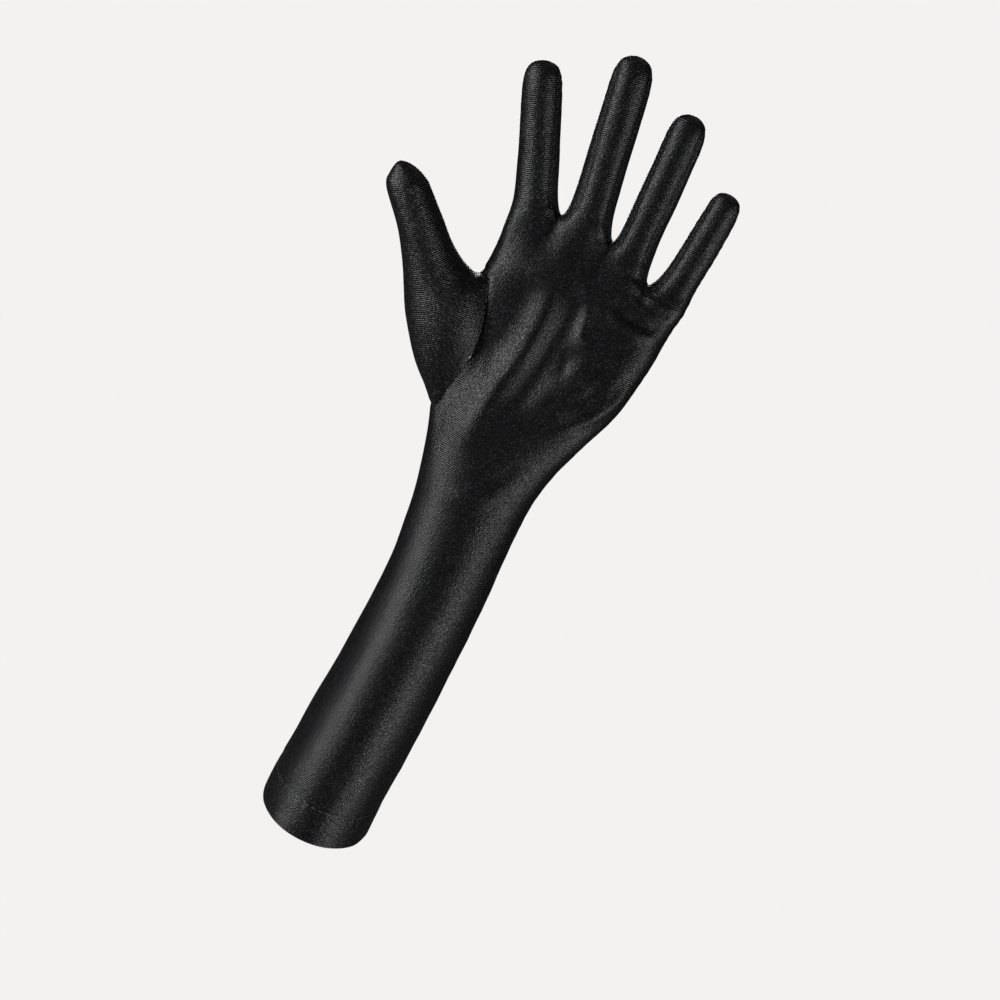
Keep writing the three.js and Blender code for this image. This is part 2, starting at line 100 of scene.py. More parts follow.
# Folds that are finer than the solids', in millimetres: the half width, the rise, below 0 where the cloth
# sinks in, and the points (x, z) that the fold follows
PALM_FOLDS = (
    # The long ridge beside the ball of the thumb, and the hollow on each side of it
    (5.0, 1.5, ((-6.6, 254), (-4.0, 236), (-4.7, 221), (-7.6, 208), (-9.4, 192), (-12.2, 170))),
    (9.0, -2.6, ((-14, 254), (-14.5, 238), (-16, 222), (-19, 204))),
    (6.0, -1.7, ((3.0, 253), (6.0, 240), (5.5, 226), (3.0, 210), (0, 194))),
    # The crease below the little finger, and the roll under it
    (2.2, -1.1, ((17.0, 258.5), (23.7, 253.6), (30.3, 252.0), (38.2, 252.6), (44.6, 254))),
    (1.7, 0.85, ((18.0, 253), (25.0, 248.9), (33.0, 247.8), (43.0, 249.5))),
    # Two ribs across the little finger's base, with a groove between them
    (1.0, 0.45, ((20.5, 266.5), (28.0, 263.4), (36.0, 262.0), (44.5, 262.6))),
    (0.9, -0.45, ((20.2, 263.9), (27.6, 260.9), (35.6, 259.4), (44.0, 259.9))),
    (1.0, 0.45, ((19.6, 261.4), (27.0, 258.4), (35.0, 257.0), (43.5, 257.4))),
    # The bow round the middle of the palm, and the dent inside it
    (2.6, 1.2,
     ((0.1, 255.5), (5.6, 255.4), (10.6, 251.0), (12.2, 244.2), (12.6, 238), (18.2, 234.4), (28.0, 233.4))),
    (2.8, -1.1, ((13.0, 217), (12.4, 227.5), (17.8, 230.6), (26.0, 229.6), (34.0, 231))),
    # The roll at the heel of the hand, and the dip beside it
    (2.2, 1.15, ((17.0, 198), (24.0, 202.5), (32.0, 209.6), (37.5, 219), (41.0, 230))),
    (3.2, -1.2, ((12.5, 203), (19.5, 208.5), (26.5, 215.5), (31.0, 225))),
    # A small crease and roll at the base of the index, the middle and the ring finger
    (0.9, -0.5, ((-20.5, 275.5), (-16.0, 273.0), (-12.0, 273.8))),
    (0.9, 0.4, ((-22.0, 279), (-18.0, 276.8), (-14.5, 277.5))),
    (0.9, -0.5, ((-2.0, 277.5), (1.5, 275.3), (5.0, 276.2))),
    (0.9, 0.4, ((-1.5, 281), (2.0, 279.2), (5.0, 280))),
    (0.9, -0.5, ((18.0, 270), (22.0, 267.8), (26.0, 268.4))),
    (0.9, 0.4, ((18.5, 273.4), (22.5, 271.4), (26.0, 272))),
    # A soft wave across the wrist
    (2.4, -0.6, ((-16.0, 158.0), (-4.0, 162.0), (6.0, 168.0), (15.0, 178.0))),
    (2.6, 0.5, ((-17.0, 152.5), (-4.0, 156.5), (8.0, 162.0), (18.0, 171.0))),
)
BACK_FOLDS = (
    # Dips between the knuckles
    (1.6, -0.3, ((-18, 268), (-14, 263), (-9, 265))),
    (1.6, -0.3, ((2, 272), (6, 267), (11, 269))),
    (1.6, -0.3, ((23, 265), (28, 260), (33, 261))),
    # A soft wave across the wrist
    (2.2, 0.35, ((-14, 181), (-3, 178), (8, 179), (18, 183))),
    (2.0, -0.35, ((-12, 176), (0, 173.5), (12, 175))),
)
FOLD_TAPER = 0.22
FACING_GAIN = 2.2

# Where the ribs of each finger's cloth are counted from, in millimetres, and the finger's lean in degrees
FINGERS = (
    ((-27.0, 0.0, 268.0), -22.0),
    ((-4.5, 0.0, 272.0), -9.0),
    ((16.5, 0.0, 268.0), -1.0),
    ((38.0, 0.0, 258.0), 6.0),
)
THUMB_ROOT = (-30.0, -4.0, 213.0)
THUMB_LEAN = math.radians(-40.0)
THUMB_FORWARD = math.radians(14.0)
FINGER_REACH = 9.0 * MM
FINGER_START = -10.0 * MM
FINGER_END = 14.0 * MM
LEAST_WEIGHT = 1e-4

# Stitches, metres. Bevel and bow are shares of the thread's radius.
STITCH_LENGTH = 1.5 * MM
STITCH_PITCH = 2.5 * MM
STITCH_RADIUS = 0.15 * MM
STITCH_LIFT = 0.04 * MM
STITCH_SIDES = 6
STITCH_BEVEL = 0.6
STITCH_BOW = 0.9
HEM_STITCH_LENGTH = 2.1 * MM
HEM_STITCH_PITCH = 3.3 * MM
HEM_STITCH_RADIUS = 0.18 * MM
HEM_STITCH_LIFT = 0.12 * MM
HEM_STITCH_DROP = 1.0 * MM

# Knit: the ribs' pitch and how far they wander in metres, and the scales of the noises
RIB_PITCH = 0.8 * MM
RIB_WANDER = 1.2 * MM
DRIFT_SCALE = 130.0
PATCH_SCALE = 260.0
GRAIN_SCALE = 1500.0
THREAD_SCALE = 3300.0
THREAD_DEPTH = 0.12
GLINT_RANGE = (0.55, 0.7)
RIB_GLINT = 0.7

# Satin, right side and reverse: the colours of its dark, its lighter patches and its painted glints, pale
# dots that stand in for light sparkling off single stitches; the roughness of its ground and of the glint
# spots, its sheen, and the depth of ribs, grain and bump
BLACK_SATIN = {
    "colours": ((0.0009, 0.001, 0.0013), (0.003, 0.0032, 0.0041), (0.06, 0.061, 0.069)),
    "rough": (0.39, 0.25),
    "sheen": 0.03,
    "rib": 0.36,
    "grain": 1.1,
    "bump": 0.22 * MM,
}
SATIN_REVERSE = {
    "colours": ((0.008, 0.0083, 0.009), (0.016, 0.0165, 0.018), (0.03, 0.0305, 0.033)),
    "rough": (0.75, 0.6),
    "sheen": 0.15,
    "rib": 0.5,
    "grain": 0.5,
    "bump": 0.1 * MM,
}
SATIN_GLOSS = 0.5
SHEEN_ROUGHNESS = 0.35
SHEEN_TINT = (0.75, 0.8, 0.9, 1.0)

# Sewing thread
THREAD_DARK = (0.03, 0.031, 0.034)
THREAD_LIGHT = (0.22, 0.225, 0.24)
THREAD_ROUGH = (0.32, 0.5)
THREAD_SHEEN = 0.2
TWIST_SCALE = 2600.0
TWIST_RANGE = (0.3, 0.7)
TWIST_BUMP = 0.05 * MM

# Camera, metres
CAMERA_TARGET = Vector((12.8, -10.0, 161.0)) * MM
CAMERA_DISTANCE = 1100.0 * MM
CAMERA_ELEVATION = math.radians(15.0)
CAMERA_ROLL = math.radians(26.0)
PICTURE_WIDTH = 410.0 * MM
SENSOR_WIDTH = 36.0
NEAREST = 0.02
FARTHEST = 200.0

# Softboxes, which all face the hand: place and sides in metres, and power in watts
SOFTBOXES = (
    ("key_softbox", (-1.3, -0.8, 0.3), (0.4, 0.8), 18.0),
    ("right_softbox", (1.25, -0.7, -0.2), (0.4, 0.7), 9.0),
    ("top_softbox", (0.1, 0.4, 1.6), (0.8, 0.8), 0.8),
    ("back_softbox", (-0.2, 1.4, 0.4), (0.5, 0.7), 9.0),
)
LIGHT_TARGET = Vector((0.0, 0.0, 0.2))

# Studio: pale paper all round, which throws little light on the black cloth
PAPER_WHITE = (0.905, 0.885, 0.875, 1.0)
PAPER_GLOW = 1.0
ROOM_GLOW = 0.03
FLOOR_COLOUR = (0.12, 0.118, 0.116, 1.0)
FLOOR_HEIGHT = -0.6
FLOOR_SIZE = 60.0


# Helpers
def pick(piece):
    """Makes a piece the only one that is selected, and the active one."""
    if bpy.context.object and bpy.context.object.mode != "OBJECT":
        bpy.ops.object.mode_set(mode="OBJECT")
    bpy.ops.object.select_all(action="DESELECT")
    piece.select_set(True)
    bpy.context.view_layer.objects.active = piece


def apply_modifier(piece, modifier):
    pick(piece)
    bpy.ops.object.modifier_apply(modifier=modifier.name)


def coordinates(mesh, what="co"):
    """The places or normals of a mesh's points, one row each."""
    values = np.zeros(len(mesh.vertices) * 3)
    mesh.vertices.foreach_get(what, values)
    return values.reshape(-1, 3)


def place_tree(places):
    """A search tree of places, each under its own number."""
    tree = KDTree(len(places))
    for i, place in enumerate(places):
        tree.insert(place, i)
    tree.balance()
    return tree


def ease(x):
    """A soft step from 0 to 1."""
    x = np.clip(x, 0.0, 1.0)
    return x * x * (3.0 - 2.0 * x)


def ripple(points, size, seed):
    """Smooth noise from -1 to 1 whose lumps are about size across."""
    shift = Vector([seed * step for step in SEED_STEPS])
    return np.array([noise.noise(Vector(p) / size + shift) for p in points])


# The cloth's outer faces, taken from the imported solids
def whole_glove():
    """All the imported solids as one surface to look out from."""
    mesh = bmesh.new()
    for node in sorted(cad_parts):
        mesh.from_mesh(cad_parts[node].data)
    surface = BVHTree.FromBMesh(mesh)
    mesh.free()
    return surface


def linked_faces(mesh):
    """The groups of faces that hang together."""
    left = set(mesh.faces)
    groups = []
    for start in mesh.faces:
        if start not in left:
            continue
        left.remove(start)
        group, waiting = [start], [start]
        while waiting:
            for edge in waiting.pop().edges:
                for face in edge.link_faces:
                    if face in left:
                        left.remove(face)
                        group.append(face)
                        waiting.append(face)
        groups.append(group)
    return groups


def open_share(faces, glove):
    """The share of the looks out from these faces that leave the glove."""
    seen, tries = 0, 0
    for face in faces[:: max(1, len(faces) // LOOK_SAMPLES)]:
        middle, out = face.calc_center_median(), face.normal
        side = out.orthogonal().normalized()
        other = out.cross(side)
        for look in (out, out + side, out - side, out + other, out - other):
            tries += 1
            if glove.ray_cast(middle + out * LOOK_START, look.normalized())[0] is None:
                seen += 1
    return seen / max(tries, 1)


def wall_depth(faces, own):
    """The middle value of how deep the solid is behind these faces."""
    depths = []
    for face in faces[:: max(1, len(faces) // DEPTH_SAMPLES)]:
        start = face.calc_center_median() - face.normal * DEPTH_START
        depth = own.ray_cast(start, -face.normal)[3]
        depths.append(math.inf if depth is None else depth)
    return sorted(depths)[len(depths) // 2]


def outer_mesh(node, glove):
    """A mesh of the outer faces of a node's wall."""
    mesh = bmesh.new()
    mesh.from_mesh(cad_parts[node].data)
    bmesh.ops.remove_doubles(mesh, verts=mesh.verts, dist=MERGE)
    own = BVHTree.FromBMesh(mesh)
    sharp = [e for e in mesh.edges if e.calc_face_angle(0.0) > RIM_ANGLE]
    bmesh.ops.split_edges(mesh, edges=sharp)
    deepest = RIM_DEPTH * (CAD_HEM_WALL if node == HEM else CAD_WALL)
    gone = []
    for faces in linked_faces(mesh):
        if open_share(faces, glove) < OPEN_SHARE or wall_depth(faces, own) > deepest:
            gone += faces
    bmesh.ops.delete(mesh, geom=gone, context="FACES")
    bmesh.ops.remove_doubles(mesh, verts=mesh.verts, dist=MERGE)
    data = bpy.data.meshes.new(node + "_cloth")
    mesh.to_mesh(data)
    mesh.free()
    return data


def drop_strays(piece):
    """Takes away triangles that hang on the sheet by one edge."""
    mesh = bmesh.new()
    mesh.from_mesh(piece.data)
    strays = [f for f in mesh.faces if len(f.verts) == 3 and sum(e.is_boundary for e in f.edges) > 1]
    bmesh.ops.delete(mesh, geom=strays, context="FACES")
    mesh.to_mesh(piece.data)
    mesh.free()


def outer_sheet(node, glove):
    """A new piece that holds a node's outer faces, as four-sided faces."""
    piece = bpy.data.objects.new(node + "_cloth", outer_mesh(node, glove))
    bpy.context.scene.collection.objects.link(piece)
    pick(piece)
    bpy.ops.object.mode_set(mode="EDIT")
    bpy.ops.mesh.select_all(action="SELECT")
    bpy.ops.mesh.tris_convert_to_quads(
        face_threshold=QUAD_ANGLE, shape_threshold=QUAD_ANGLE, topology_influence=1.0
    )
    bpy.ops.object.mode_set(mode="OBJECT")
    drop_strays(piece)
    return piece


# Seams
def edge_points(piece):
    """The points on the open edges of a sheet, and the points next to each."""
    mesh = bmesh.new()
    mesh.from_mesh(piece.data)
    near = {}
    for vert in mesh.verts:
        if vert.is_boundary:
            near[vert.index] = {e.other_vert(vert).index for e in vert.link_edges}
    mesh.free()
    return near


def close_seams(pieces):
    """Brings the two edges of each seam together, to a hair's width."""
    edges = []
    for piece in pieces:
        for index, near in edge_points(piece).items():
            edges.append((piece, index, near, piece.data.vertices[index].co.copy()))
    tree = place_tree([place for _, _, _, place in edges])
    for i, (piece, index, near, place) in enumerate(edges):
        for other_place, j, _ in tree.find_range(place, SEAM_REACH):
            other, other_index = edges[j][:2]
            if j == i or (other is piece and other_index in near):
                continue
            middle = (place + other_place) / 2
            piece.data.vertices[index].co = middle + (place - middle).normalized() * SEAM_OPENING / 2
            break


def open_loops(piece):
    """The open edges of a sheet as closed loops of point numbers."""
    mesh = bmesh.new()
    mesh.from_mesh(piece.data)
    edges = [e for e in mesh.edges if e.is_boundary]
    left = set(edges)
    loops = []
    for edge in edges:
        if edge not in left:
            continue
        left.remove(edge)
        first, vert = edge.verts
        loop = [first.index]
        while vert is not first:
            loop.append(vert.index)
            step = [e for e in vert.link_edges if e in left]
            if not step:
                break
            left.remove(step[0])
            vert = step[0].other_vert(vert)
        loops.append(loop)
    mesh.free()
    return loops


def loop_path(piece, loop):
    """A loop of point numbers as pairs of place and outward direction."""
    places = coordinates(piece.data)
    normals = coordinates(piece.data, "normal")
    return [(Vector(places[i]), Vector(normals[i])) for i in loop]


def mean_height(path):
    return sum(place.z for place, _ in path) / len(path)


def hem_edges(hem):
    """The hem's open rim and its upper edge."""
    paths = [loop_path(hem, loop) for loop in open_loops(hem)]
    return min(paths, key=mean_height), max(paths, key=mean_height)


def seam_runs(pieces, rim_top):
    """Every point of every open edge above the cuff's rim, with its distance along its own edge."""
    runs = []
    for piece in pieces:
        places = [v.co.copy() for v in piece.data.vertices]
        for loop in open_loops(piece):
            run = 0.0
            for a, b in zip(loop, loop[1:] + loop[:1]):
                if places[a].z >= rim_top:
                    runs.append((places[a], run))
                run += (places[b] - places[a]).length
    return runs


def side_seam_path(piece):
    """The closing seam's palm edge, from the hem to the little finger's tip."""
    places = coordinates(piece.data)
    normals = coordinates(piece.data, "normal")
    longest = max(open_loops(piece), key=len)
    tree = place_tree([places[i] for i in longest])
    near = {a: {b, c} for a, b, c in zip(longest, longest[1:] + longest[:1], longest[-1:] + longest[:-1])}
    path = []
    for i in longest:
        found = [longest[k] for _, k, _ in tree.find_range(places[i], SEAM_PAIR_REACH)]
        found = [j for j in found if j != i and j not in near[i]]
        if found and places[i][1] < places[found[0]][1]:
            j = found[0]
            out = Vector(normals[i] + normals[j]).normalized()
            path.append(((Vector(places[i]) + Vector(places[j])) / 2, out))
    path.sort(key=lambda pair: pair[0].z)
    return path


# Shaping
def fold_field(points, facing, folds):
    """How far each point rises over the folds of one side. facing is how much it faces that side."""
    flat = points[:, [0, 2]] / MM
    rise_all = np.zeros(len(points))
    for half, rise, path in folds:
        path = np.array(path, dtype=float)
        lengths = np.linalg.norm(np.diff(path, axis=0), axis=1)
        best = np.full(len(points), np.inf)
        share = np.zeros(len(points))
        run = 0.0
        for a, b, length in zip(path[:-1], path[1:], lengths):
            t = np.clip(((flat - a) @ (b - a)) / length**2, 0.0, 1.0)
            gap = np.linalg.norm(flat - (a + t[:, None] * (b - a)), axis=1)
            closer = gap < best
            best = np.where(closer, gap, best)
            share = np.where(closer, (run + t * length) / lengths.sum(), share)
            run += length
        ends = ease(share / FOLD_TAPER) * ease((1.0 - share) / FOLD_TAPER)
        rise_all += rise * MM * np.exp(-((best / half) ** 2)) * ends
    return rise_all * ease(facing * FACING_GAIN)


def seam_field(points, seams):
    """The dip along the seams and the puckers that run out from them."""
    tree = place_tree([place for place, _ in seams])
    gaps = np.zeros(len(points))
    runs = np.zeros(len(points))
    for i, point in enumerate(points):
        _, j, gap = tree.find(point)
        gaps[i] = gap
        runs[i] = seams[j][1]
    dip = -SEAM_DIP * np.exp(-((gaps / SEAM_DIP_WIDTH) ** 2))
    fade = np.exp(-((gaps / PUCKER_REACH) ** 2)) * ease(gaps / PUCKER_START)
    waver = ripple(points, WAVER_SIZE, WAVER_SEED)
    wave = np.sin(2 * math.pi * runs / PUCKER_PITCH + WAVER_TURN * waver)
    pucker = wave * (WAVER_BASE + WAVER_SWING * waver)
    return dip + PUCKER_HEIGHT * pucker * fade


def shape_cloth(piece, seams, thumb):
    """Moves the cloth in and out: seams, folds and ripples."""
    mesh = piece.data
    points = coordinates(mesh)
    normals = coordinates(mesh, "normal")
    rise = seam_field(points, seams)
    if not thumb:
        rise += fold_field(points, -normals[:, 1], PALM_FOLDS)
        rise += fold_field(points, normals[:, 1], BACK_FOLDS)
    rise += sum(height * ripple(points, size, seed) for height, size, seed in RIPPLES)
    moved = points + normals * rise[:, None]
    mesh.vertices.foreach_set("co", moved.ravel())
    mesh.update()


def round_thumb_tip(piece):
    """Smooths the cloth around the thumb's highest point, TIP_REPEATS times over."""
    mesh = bmesh.new()
    mesh.from_mesh(piece.data)
    tip = max((v.co.copy() for v in mesh.verts), key=lambda place: place.z)
    near = [v for v in mesh.verts if (v.co - tip).length < TIP_REACH and not v.is_boundary]
    for _ in range(TIP_REPEATS):
        bmesh.ops.smooth_vert(
            mesh, verts=near, factor=TIP_FACTOR, use_axis_x=True, use_axis_y=True, use_axis_z=True
        )
    mesh.to_mesh(piece.data)
    mesh.free()


def thumb_distance(points):
    """How far along the thumb each point lies."""
    level = math.cos(THUMB_LEAN)
    way = np.array([
        math.sin(THUMB_LEAN), -level * math.sin(THUMB_FORWARD), level * math.cos(THUMB_FORWARD)
    ])
    return (points - np.array(THUMB_ROOT) * MM) @ way


def hand_distance(points):
    """How far along the sleeve, hand and fingers each point lies, blended at the fingers' bases."""
    total = np.zeros(len(points))
    weights = np.zeros(len(points))
    strongest = np.zeros(len(points))
    for root, lean in FINGERS:
        root = np.array(root) * MM
        way = np.array([math.sin(math.radians(lean)), 0.0, math.cos(math.radians(lean))])
        along = (points - root) @ way
        aside = np.abs((points - root) @ np.array([way[2], 0.0, -way[0]]))
        started = ease((along - FINGER_START) / (FINGER_END - FINGER_START))
        weight = started * np.exp(-((aside / FINGER_REACH) ** 2))
        total += weight * (root[2] + along)
        weights += weight
        strongest = np.maximum(strongest, started)
    base = 1.0 - strongest + LEAST_WEIGHT
    return (total + base * points[:, 2]) / (weights + base)


def note_along(piece, thumb):
    """Stores the distance along the limb on the points, which the satin's ribs follow."""
    points = coordinates(piece.data)
    values = thumb_distance(points) if thumb else hand_distance(points)
    attribute = piece.data.attributes.new("along", "FLOAT", "POINT")
    attribute.data.foreach_set("value", values)


def smooth(piece):
    """Rounds the sheet between its points, with its corners kept."""
    modifier = piece.modifiers.new("smooth", "SUBSURF")
    modifier.levels = SMOOTHING_LEVELS
    modifier.render_levels = SMOOTHING_LEVELS
    modifier.boundary_smooth = "PRESERVE_CORNERS"
    apply_modifier(piece, modifier)


def thicken(piece, thickness):
    """Gives the sheet its wall, with the second material inside."""
    modifier = piece.modifiers.new("wall", "SOLIDIFY")
    modifier.thickness = thickness
    modifier.offset = -1.0
    modifier.use_even_offset = True
    modifier.material_offset = 1
    apply_modifier(piece, modifier)
    bpy.ops.object.shade_smooth_by_angle(angle=CREASE_ANGLE)


# Stitches
def model_stitch(length, radius):
    """One stitch of thread: a short rod with rounded ends, a little bowed so that its ends sink in."""
    bpy.ops.object.select_all(action="DESELECT")
    bpy.ops.mesh.primitive_cylinder_add(
        vertices=STITCH_SIDES, radius=radius, depth=length, rotation=(0.0, math.pi / 2, 0.0)
    )
    stitch = bpy.context.object
    bpy.ops.object.transform_apply(location=True, rotation=True, scale=True)
    bpy.ops.object.mode_set(mode="EDIT")
    bpy.ops.mesh.select_all(action="SELECT")
    bpy.ops.mesh.bevel(offset=radius * STITCH_BEVEL, offset_type="OFFSET", segments=1, affect="EDGES")
    bpy.ops.object.mode_set(mode="OBJECT")
    for vert in stitch.data.vertices:
        share = vert.co.x / (length / 2)
        vert.co.z -= radius * STITCH_BOW * share * share
    return stitch


def lay_stitches(name, stitch, places):
    """Lays copies of a stitch at places given as (point, along, out), and joins them into one piece."""
    copies = []
    for point, along, out in places:
        copy = stitch.copy()
        copy.data = stitch.data.copy()
        bpy.context.scene.collection.objects.link(copy)
        along = (along - out * along.dot(out)).normalized()
        turn = Matrix((along, out.cross(along), out)).transposed().to_4x4()
        copy.data.transform(Matrix.Translation(point) @ turn)
        copies.append(copy)
    bpy.ops.object.select_all(action="DESELECT")
    for copy in copies:
        copy.select_set(True)
    bpy.context.view_layer.objects.active = copies[0]
    bpy.ops.object.join()
    piece = bpy.context.object
    piece.name = name
    piece.data.name = name
    bpy.ops.object.shade_smooth()
    return piece


def along_path(path, pitch, lift, drop=0.0):
    """Places at even steps along a path of (point, out) pairs. drop moves them down, towards the rim."""
    lengths = [(b[0] - a[0]).length for a, b in zip(path[:-1], path[1:])]
    total = sum(lengths)
    count = max(1, round(total / pitch))
    places = []
    k, run = 0, 0.0
    for i in range(count):
        target = (i + 0.5) * total / count
        while k < len(lengths) - 1 and run + lengths[k] < target:
            run += lengths[k]
            k += 1
        (a, out_a), (b, out_b) = path[k], path[k + 1]
        share = (target - run) / lengths[k]
        out = out_a.lerp(out_b, share).normalized()
        along = (b - a).normalized()
        down = along.cross(out)
        if down.z > 0:
            down = -down
        places.append((a.lerp(b, share) + out * lift + down * drop, along, out))
    return places


def closed(path):
    """A path that ends where it starts."""
    return path + path[:1]


def sew(cloths):
    """The stitches of each cloth, by its node."""
    stitch = model_stitch(STITCH_LENGTH, STITCH_RADIUS)
    hem_stitch = model_stitch(HEM_STITCH_LENGTH, HEM_STITCH_RADIUS)
    sewn = {}
    for name in SET_IN:
        seam = loop_path(cloths[name], max(open_loops(cloths[name]), key=len))
        places = along_path(closed(seam), STITCH_PITCH, STITCH_LIFT)
        sewn[name] = lay_stitches(name + "_stitches", stitch, places)
    places = along_path(side_seam_path(cloths[BODY]), STITCH_PITCH, STITCH_LIFT)
    sewn[BODY] = lay_stitches("side_seam_stitches", stitch, places)
    _, hem_top = hem_edges(cloths[HEM])
    places = along_path(closed(hem_top), HEM_STITCH_PITCH, HEM_STITCH_LIFT, HEM_STITCH_DROP)
    sewn[HEM] = lay_stitches("hem_stitches", hem_stitch, places)
    bpy.data.objects.remove(stitch)
    bpy.data.objects.remove(hem_stitch)
    return sewn


# Materials
def number(tree, operation, a, b, c=None):
    """A Math node. Its inputs are sockets or numbers."""
    node = tree.nodes.new("ShaderNodeMath")
    node.operation = operation
    for socket, value in zip(node.inputs, (a, b, c)):
        if isinstance(value, (int, float)):
            socket.default_value = value
        elif value is not None:
            tree.links.new(value, socket)
    return node.outputs[0]


def fine_noise(tree, place, scale, detail=2.0):
    """Noise from 0 to 1. scale is in lumps a metre."""
    node = tree.nodes.new("ShaderNodeTexNoise")
    node.inputs["Scale"].default_value = scale
    node.inputs["Detail"].default_value = detail
    tree.links.new(place, node.inputs["Vector"])
    return node.outputs[0]


def spread(tree, value, start, end):
    """Maps the values from start[0] to start[1] softly onto end[0] to end[1]."""
    node = tree.nodes.new("ShaderNodeMapRange")
    node.interpolation_type = "SMOOTHSTEP"
    for name, limit in zip(("From Min", "From Max", "To Min", "To Max"), (*start, *end)):
        node.inputs[name].default_value = limit
    tree.links.new(value, node.inputs["Value"])
    return node.outputs["Result"]


def two_colours(tree, share, first, second):
    """Mixes two colours, each a socket or red, green and blue."""
    node = tree.nodes.new("ShaderNodeMix")
    node.data_type = "RGBA"
    for name, colour in (("A", first), ("B", second)):
        socket = [s for s in node.inputs if s.name == name and s.type == "RGBA"][0]
        if isinstance(colour, tuple):
            socket.default_value = (*colour, 1.0)
        else:
            tree.links.new(colour, socket)
    factor = [s for s in node.inputs if s.name == "Factor" and s.type == "VALUE"][0]
    tree.links.new(share, factor)
    return [s for s in node.outputs if s.name == "Result" and s.type == "RGBA"][0]


def add_bump(tree, skin, height, distance):
    node = tree.nodes.new("ShaderNodeBump")
    node.inputs["Strength"].default_value = 1.0
    node.inputs["Distance"].default_value = distance
    tree.links.new(height, node.inputs["Height"])
    tree.links.new(node.outputs["Normal"], skin.inputs["Normal"])


def knit_group():
    """The satin knit: rows of ribs across the limb, grainy threads, and the Glint mask of dots, strongest on
    the rib crests, where the satin gets painted highlights in place of light sparkling off single stitches.
    """
    tree = bpy.data.node_groups.new("satin_knit", "ShaderNodeTree")
    for name in ("Along", "Rib depth", "Grain depth"):
        tree.interface.new_socket(name=name, in_out="INPUT", socket_type="NodeSocketFloat")
    for name in ("Height", "Glint", "Shade"):
        tree.interface.new_socket(name=name, in_out="OUTPUT", socket_type="NodeSocketFloat")
    inside = tree.nodes.new("NodeGroupInput")
    outside = tree.nodes.new("NodeGroupOutput")
    place = tree.nodes.new("ShaderNodeTexCoord").outputs["Object"]
    drift = fine_noise(tree, place, DRIFT_SCALE)
    wander = number(tree, "MULTIPLY", number(tree, "SUBTRACT", drift, 0.5), RIB_WANDER)
    turns = number(tree, "DIVIDE", number(tree, "ADD", inside.outputs["Along"], wander), RIB_PITCH)
    wave = number(tree, "MULTIPLY", turns, 2 * math.pi)
    rib = number(tree, "MULTIPLY_ADD", number(tree, "SINE", wave, None), 0.5, 0.5)
    grain = fine_noise(tree, place, GRAIN_SCALE, detail=1.0)
    thread = fine_noise(tree, place, THREAD_SCALE, detail=0.0)
    patch = fine_noise(tree, place, PATCH_SCALE)
    height = number(tree, "MULTIPLY", rib, inside.outputs["Rib depth"])
    height = number(tree, "MULTIPLY_ADD", grain, inside.outputs["Grain depth"], height)
    height = number(tree, "MULTIPLY_ADD", thread, THREAD_DEPTH, height)
    # Glint: painted highlight. Dots of grain, brighter on the rib crests, that the satin paints pale as light
    # sparkling off the knit
    bright = number(tree, "MULTIPLY_ADD", rib, RIB_GLINT, 1.0 - RIB_GLINT)
    glint = number(tree, "MULTIPLY", spread(tree, grain, GLINT_RANGE, (0.0, 1.0)), bright)
    shade = number(tree, "MULTIPLY_ADD", patch, 0.5, number(tree, "MULTIPLY", grain, 0.5))
    tree.links.new(height, outside.inputs["Height"])
    tree.links.new(glint, outside.inputs["Glint"])
    tree.links.new(shade, outside.inputs["Shade"])
    return tree


def new_material(name):
    material = bpy.data.materials.new(name)
    material.use_nodes = True
    tree = material.node_tree
    return material, tree, tree.nodes["Principled BSDF"]


def satin_material(name, knit, colours, rough, sheen, rib, grain, bump):
    """One side of the satin. Its values are those of BLACK_SATIN or SATIN_REVERSE."""
    material, tree, skin = new_material(name)
    group = tree.nodes.new("ShaderNodeGroup")
    group.node_tree = knit
    group.inputs["Rib depth"].default_value = rib
    group.inputs["Grain depth"].default_value = grain
    along = tree.nodes.new("ShaderNodeAttribute")
    along.attribute_name = "along"
    tree.links.new(along.outputs["Fac"], group.inputs["Along"])
    # The third colour is painted highlight: pale glint dots in place of light sparkling off single stitches
    dark, patches, stitches = colours
    glint = group.outputs["Glint"]
    ground = two_colours(tree, group.outputs["Shade"], dark, patches)
    # Painted highlight: the colour turns pale where the glint mask is; the same dots also get a lower
    # roughness
    tree.links.new(two_colours(tree, glint, ground, stitches), skin.inputs["Base Color"])
    tree.links.new(spread(tree, glint, (0.0, 1.0), rough), skin.inputs["Roughness"])
    add_bump(tree, skin, group.outputs["Height"], bump)
    skin.inputs["Specular IOR Level"].default_value = SATIN_GLOSS
    skin.inputs["Sheen Weight"].default_value = sheen
    skin.inputs["Sheen Roughness"].default_value = SHEEN_ROUGHNESS
    skin.inputs["Sheen Tint"].default_value = SHEEN_TINT
    return material


def thread_material():
    material, tree, skin = new_material("sewing_thread")
    place = tree.nodes.new("ShaderNodeTexCoord").outputs["Object"]
    twist = fine_noise(tree, place, TWIST_SCALE, detail=1.0)
    tree.links.new(two_colours(tree, twist, THREAD_DARK, THREAD_LIGHT), skin.inputs["Base Color"])
    tree.links.new(spread(tree, twist, TWIST_RANGE, THREAD_ROUGH), skin.inputs["Roughness"])
    add_bump(tree, skin, twist, TWIST_BUMP)
    skin.inputs["Sheen Weight"].default_value = THREAD_SHEEN
    return material


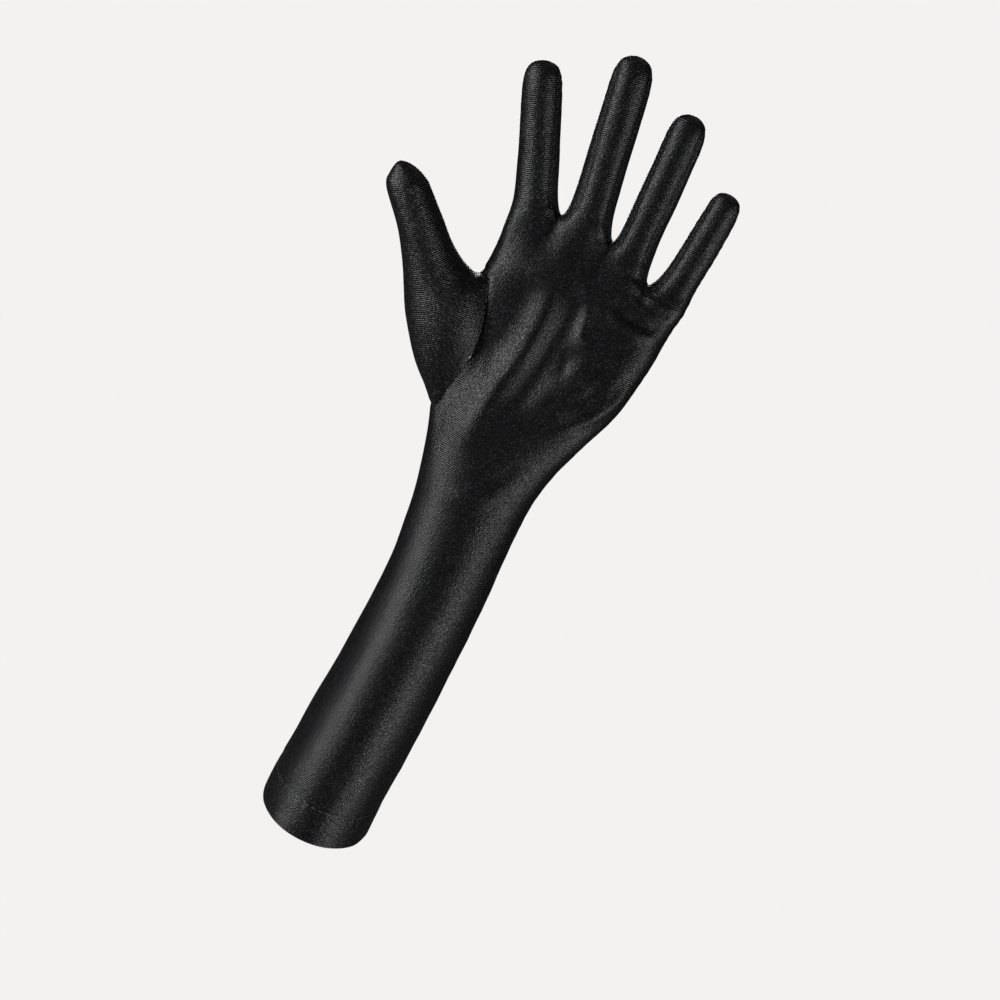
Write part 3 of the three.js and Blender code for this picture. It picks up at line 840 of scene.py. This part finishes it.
# Camera, light and floor
def place_camera():
    """The photo's view: a little from above, with the glove leaning to the right."""
    data = bpy.data.cameras.new("camera")
    camera = bpy.data.objects.new("camera", data)
    bpy.context.scene.collection.objects.link(camera)
    out = Vector((0.0, -math.cos(CAMERA_ELEVATION), math.sin(CAMERA_ELEVATION)))
    place = Matrix.Translation(CAMERA_TARGET + out * CAMERA_DISTANCE)
    look = (-out).to_track_quat("-Z", "Y").to_matrix().to_4x4()
    camera.matrix_world = place @ look @ Matrix.Rotation(CAMERA_ROLL, 4, "Z")
    data.sensor_width = SENSOR_WIDTH
    data.lens = SENSOR_WIDTH * CAMERA_DISTANCE / PICTURE_WIDTH
    data.clip_start = NEAREST
    data.clip_end = FARTHEST
    bpy.context.scene.camera = camera


def show_to_camera(tree, plain, shown, surface):
    """Gives the surface one shader for what the camera sees and a plain one for all other light."""
    seen = tree.nodes.new("ShaderNodeLightPath").outputs["Is Camera Ray"]
    mix = tree.nodes.new("ShaderNodeMixShader")
    for source, socket in zip((seen, plain, shown), mix.inputs):
        tree.links.new(source, socket)
    tree.links.new(mix.outputs[0], surface)


def place_lights():
    for name, place, (width, height), power in SOFTBOXES:
        data = bpy.data.lights.new(name, "AREA")
        data.shape = "RECTANGLE"
        data.size = width
        data.size_y = height
        data.energy = power
        light = bpy.data.objects.new(name, data)
        bpy.context.scene.collection.objects.link(light)
        light.location = place
        light.rotation_euler = (LIGHT_TARGET - Vector(place)).to_track_quat("-Z", "Y").to_euler()


def paper_light(tree, node, strength):
    node.inputs["Color"].default_value = PAPER_WHITE
    node.inputs["Strength"].default_value = strength
    return node.outputs[0]


def place_backdrop():
    world = bpy.data.worlds.new("studio")
    bpy.context.scene.world = world
    world.use_nodes = True
    tree = world.node_tree
    shown = paper_light(tree, tree.nodes["Background"], PAPER_GLOW)
    plain = paper_light(tree, tree.nodes.new("ShaderNodeBackground"), ROOM_GLOW)
    show_to_camera(tree, plain, shown, tree.nodes["World Output"].inputs["Surface"])


def place_floor():
    bpy.ops.object.select_all(action="DESELECT")
    bpy.ops.mesh.primitive_plane_add(size=FLOOR_SIZE, location=(0.0, 0.0, FLOOR_HEIGHT))
    floor = bpy.context.object
    floor.name = "floor"
    material, tree, skin = new_material("studio_paper")
    skin.inputs["Base Color"].default_value = FLOOR_COLOUR
    skin.inputs["Roughness"].default_value = 1.0
    shown = paper_light(tree, tree.nodes.new("ShaderNodeEmission"), PAPER_GLOW)
    show_to_camera(tree, skin.outputs[0], shown, tree.nodes["Material Output"].inputs["Surface"])
    floor.data.materials.append(material)


# The making
def make_cloths():
    """The shaped sheets, by node, still without their wall."""
    glove = whole_glove()
    cloths = {name: outer_sheet(name, glove) for name in NODES}
    rim, _ = hem_edges(cloths[HEM])
    rim_top = max(place.z for place, _ in rim) + RIM_MARGIN
    close_seams(cloths.values())
    for cloth in cloths.values():
        smooth(cloth)
    round_thumb_tip(cloths[THUMB])
    seams = seam_runs(cloths.values(), rim_top)
    for name, cloth in cloths.items():
        shape_cloth(cloth, seams, name == THUMB)
        note_along(cloth, name == THUMB)
    return cloths


def finish_pieces(cloths, sewn):
    """Gives the pieces their walls and materials, and hangs each one on the root body."""
    knit = knit_group()
    satin = satin_material("black_satin", knit, **BLACK_SATIN)
    reverse = satin_material("satin_reverse", knit, **SATIN_REVERSE)
    thread = thread_material()
    for name, cloth in cloths.items():
        cloth.data.materials.append(satin)
        cloth.data.materials.append(reverse)
        thicken(cloth, HEM_THICKNESS if name == HEM else SATIN_THICKNESS)
        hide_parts(name)
        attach(cloth, "root")
        stitches = sewn[name]
        stitches.data.materials.append(thread)
        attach(stitches, "root")


place_camera()
cloths = make_cloths()
finish_pieces(cloths, sew(cloths))
place_lights()
place_backdrop()
place_floor()
bpy.context.scene.view_settings.view_transform = "Standard"
